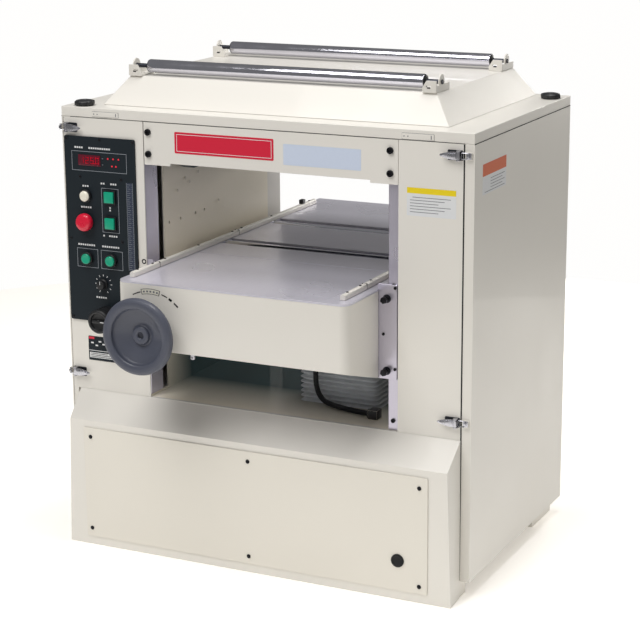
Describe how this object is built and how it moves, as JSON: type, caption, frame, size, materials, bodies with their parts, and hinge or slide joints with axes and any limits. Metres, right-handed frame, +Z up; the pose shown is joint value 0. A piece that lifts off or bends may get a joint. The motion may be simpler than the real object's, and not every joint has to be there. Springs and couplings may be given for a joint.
{
  "type": "thickness planer",
  "caption": "Floor-standing thickness planer: sheet-metal cabinet with side doors, lifting steel table under a cutterhead, control panel, handwheel and return rollers on the hood.",
  "frame": {"origin": "on the floor, under the middle of the whole machine's box", "axes": "+Z up, +Y from the operator through the machine, +X to the operator's right"},
  "size_m": [1.029, 1.1, 1.15],
  "materials": {
    "cream_paint": "semi-gloss baked enamel",
    "ground_steel": "ground, lightly oiled",
    "cast_iron": "rough, painted grey",
    "dark_steel": "blackened",
    "chrome": "polished",
    "black_rubber": "matt",
    "motor_paint": "grey enamel",
    "black_plastic": "moulded",
    "panel_paint": "satin",
    "red_plastic": "glossy",
    "green_plastic": "glossy",
    "wheel_paint": "hammered grey-blue",
    "bellows_cloth": "pleated coated cloth",
    "bronze": "machined"
  },
  "bodies": {
    "frame": {"base_frame": "cream_paint", "base_front_cover": "cream_paint", "left_column": "cream_paint", "right_column": "cream_paint", "front_way_left": "ground_steel", "front_way_right": "ground_steel", "head_casting": "cast_iron", "header_plate": "cream_paint", "drive_belt": "black_rubber", "feed_chain": "dark_steel", "feed_motor": "motor_paint", "pressure_bar": "cast_iron", "main_motor": "motor_paint", "top_lid": "cream_paint", "dust_hood": "cream_paint", "roller_bracket_front_left": "cream_paint", "roller_bracket_front_right": "cream_paint", "roller_bracket_rear_left": "cream_paint", "roller_bracket_rear_right": "cream_paint", "control_panel": "panel_paint", "lift_nut": "bronze", "lift_bellows": "bellows_cloth", "table_cable": "black_rubber"},
    "table": {"table_bed": "ground_steel", "table_front_plate": "ground_steel", "table_front_cover": "cream_paint", "table_rear_extension": "ground_steel", "rail_left": "cream_paint", "rail_right": "cream_paint", "gib_left": "ground_steel", "gib_right": "ground_steel", "lift_gearbox": "cast_iron", "lift_motor": "motor_paint"},
    "bed_roller_front": {"bed_roller_front": "chrome"},
    "bed_roller_rear": {"bed_roller_rear": "chrome"},
    "handwheel": {"handwheel": "wheel_paint"},
    "lead_screw": {"lead_screw": "ground_steel"},
    "cutterhead": {"cutterhead": "dark_steel", "cutterhead_pulley": "cast_iron"},
    "motor_pulley": {"motor_pulley": "cast_iron"},
    "infeed_roller": {"infeed_roller": "ground_steel"},
    "outfeed_roller": {"outfeed_roller": "black_rubber"},
    "feed_sprocket": {"feed_sprocket": "dark_steel"},
    "return_roller_front": {"return_roller_front": "chrome"},
    "return_roller_rear": {"return_roller_rear": "chrome"},
    "door_left": {"door_left": "cream_paint"},
    "door_right": {"door_right": "cream_paint"},
    "latch_left_top": {"latch_lever_left_top": "chrome"},
    "latch_left_bottom": {"latch_lever_left_bottom": "chrome"},
    "latch_right_top": {"latch_lever_right_top": "chrome"},
    "latch_right_bottom": {"latch_lever_right_bottom": "chrome"},
    "emergency_stop": {"emergency_stop": "red_plastic"},
    "button_table_up": {"button_table_up": "green_plastic"},
    "button_table_down": {"button_table_down": "green_plastic"},
    "button_feed": {"button_feed": "green_plastic"},
    "button_cutter": {"button_cutter": "green_plastic"},
    "speed_knob": {"speed_knob": "black_plastic"},
    "feed_speed_selector": {"feed_speed_selector": "black_plastic"},
    "cover_knob_front": {"cover_knob_front": "black_plastic"},
    "cover_knob_rear": {"cover_knob_rear": "black_plastic"}
  },
  "joints": [
    {"name": "table_lift", "type": "slide", "parent": "frame", "child": "table", "axis": [0, 0, 1], "range_m": [-0.11, 0.175], "deforming": ["lift_bellows", "table_cable"]},
    {"name": "handwheel_turn", "type": "hinge", "parent": "table", "child": "handwheel", "pos_m": [-0.1985, -0.525, 0.578], "axis": [0, 1, 0], "range_deg": [-7920, 12600]},
    {"name": "lead_screw_turn", "type": "hinge", "parent": "table", "child": "lead_screw", "pos_m": [0.1365, -0.109, 0.4], "axis": [0, 0, 1], "range_deg": [-7925, 12605]},
    {"name": "bed_roller_front_turn", "type": "hinge", "parent": "table", "child": "bed_roller_front", "pos_m": [0.0035, -0.028, 0.6664], "axis": [1, 0, 0], "continuous": true},
    {"name": "bed_roller_rear_turn", "type": "hinge", "parent": "table", "child": "bed_roller_rear", "pos_m": [0.0035, 0.232, 0.6664], "axis": [1, 0, 0], "continuous": true},
    {"name": "cutterhead_turn", "type": "hinge", "parent": "frame", "child": "cutterhead", "pos_m": [0.0035, 0.1, 0.932], "axis": [1, 0, 0], "continuous": true},
    {"name": "motor_turn", "type": "hinge", "parent": "frame", "child": "motor_pulley", "pos_m": [0.4235, 0.1, 0.15], "axis": [1, 0, 0], "continuous": true},
    {"name": "infeed_roller_turn", "type": "hinge", "parent": "frame", "child": "infeed_roller", "pos_m": [0.0035, -0.015, 0.914], "axis": [1, 0, 0], "continuous": true},
    {"name": "outfeed_roller_turn", "type": "hinge", "parent": "frame", "child": "outfeed_roller", "pos_m": [0.0035, 0.215, 0.914], "axis": [1, 0, 0], "continuous": true},
    {"name": "feed_motor_turn", "type": "hinge", "parent": "frame", "child": "feed_sprocket", "pos_m": [-0.3885, 0.1, 0.7], "axis": [1, 0, 0], "continuous": true},
    {"name": "return_roller_front_turn", "type": "hinge", "parent": "frame", "child": "return_roller_front", "pos_m": [0.0015, -0.207, 1.133], "axis": [1, 0, 0], "continuous": true},
    {"name": "return_roller_rear_turn", "type": "hinge", "parent": "frame", "child": "return_roller_rear", "pos_m": [0.0015, 0.195, 1.133], "axis": [1, 0, 0], "continuous": true},
    {"name": "door_left_swing", "type": "hinge", "parent": "frame", "child": "door_left", "pos_m": [-0.5045, 0.293, 0.532], "axis": [0, 0, -1], "range_deg": [0, 110]},
    {"name": "door_right_swing", "type": "hinge", "parent": "frame", "child": "door_right", "pos_m": [0.5075, 0.293, 0.532], "axis": [0, 0, 1], "range_deg": [0, 110]},
    {"name": "latch_left_top_throw", "type": "hinge", "parent": "frame", "child": "latch_left_top", "pos_m": [-0.4965, -0.344, 0.999], "axis": [0, 0, -1], "range_deg": [0, 150]},
    {"name": "latch_left_bottom_throw", "type": "hinge", "parent": "frame", "child": "latch_left_bottom", "pos_m": [-0.4965, -0.344, 0.411], "axis": [0, 0, -1], "range_deg": [0, 150]},
    {"name": "latch_right_top_throw", "type": "hinge", "parent": "frame", "child": "latch_right_top", "pos_m": [0.4805, -0.344, 0.999], "axis": [0, 0, 1], "range_deg": [0, 150]},
    {"name": "latch_right_bottom_throw", "type": "hinge", "parent": "frame", "child": "latch_right_bottom", "pos_m": [0.4805, -0.344, 0.411], "axis": [0, 0, 1], "range_deg": [0, 150]},
    {"name": "emergency_stop_press", "type": "slide", "parent": "frame", "child": "emergency_stop", "axis": [0, 1, 0], "range_m": [0, 0.006]},
    {"name": "button_table_up_press", "type": "slide", "parent": "frame", "child": "button_table_up", "axis": [0, 1, 0], "range_m": [0, 0.004], "stiffness_N_per_m": 500},
    {"name": "button_table_down_press", "type": "slide", "parent": "frame", "child": "button_table_down", "axis": [0, 1, 0], "range_m": [0, 0.004], "stiffness_N_per_m": 500},
    {"name": "button_feed_press", "type": "slide", "parent": "frame", "child": "button_feed", "axis": [0, 1, 0], "range_m": [0, 0.004], "stiffness_N_per_m": 500},
    {"name": "button_cutter_press", "type": "slide", "parent": "frame", "child": "button_cutter", "axis": [0, 1, 0], "range_m": [0, 0.004], "stiffness_N_per_m": 500},
    {"name": "speed_knob_turn", "type": "hinge", "parent": "frame", "child": "speed_knob", "pos_m": [-0.4105, -0.347, 0.633], "axis": [0, 1, 0], "range_deg": [-150, 150]},
    {"name": "feed_speed_turn", "type": "hinge", "parent": "frame", "child": "feed_speed_selector", "pos_m": [-0.3955, -0.365, 0.555], "axis": [0, 1, 0], "range_deg": [-135, 135]},
    {"name": "cover_knob_front_turn", "type": "hinge", "parent": "frame", "child": "cover_knob_front", "pos_m": [-0.4645, -0.307, 1.054], "axis": [0, 0, 1], "continuous": true},
    {"name": "cover_knob_rear_turn", "type": "hinge", "parent": "frame", "child": "cover_knob_rear", "pos_m": [0.4875, 0.22, 1.054], "axis": [0, 0, 1], "continuous": true}
  ],
  "couplings": [
    {"joint": "table_lift", "follows": "handwheel_turn", "m_per_rad": 0.00079577},
    {"joint": "lead_screw_turn", "follows": "handwheel_turn", "ratio": 1},
    {"joint": "motor_turn", "follows": "cutterhead_turn", "ratio": 0.81818},
    {"joint": "infeed_roller_turn", "follows": "outfeed_roller_turn", "ratio": 1},
    {"joint": "feed_motor_turn", "follows": "outfeed_roller_turn", "ratio": 1.6}
  ]
}
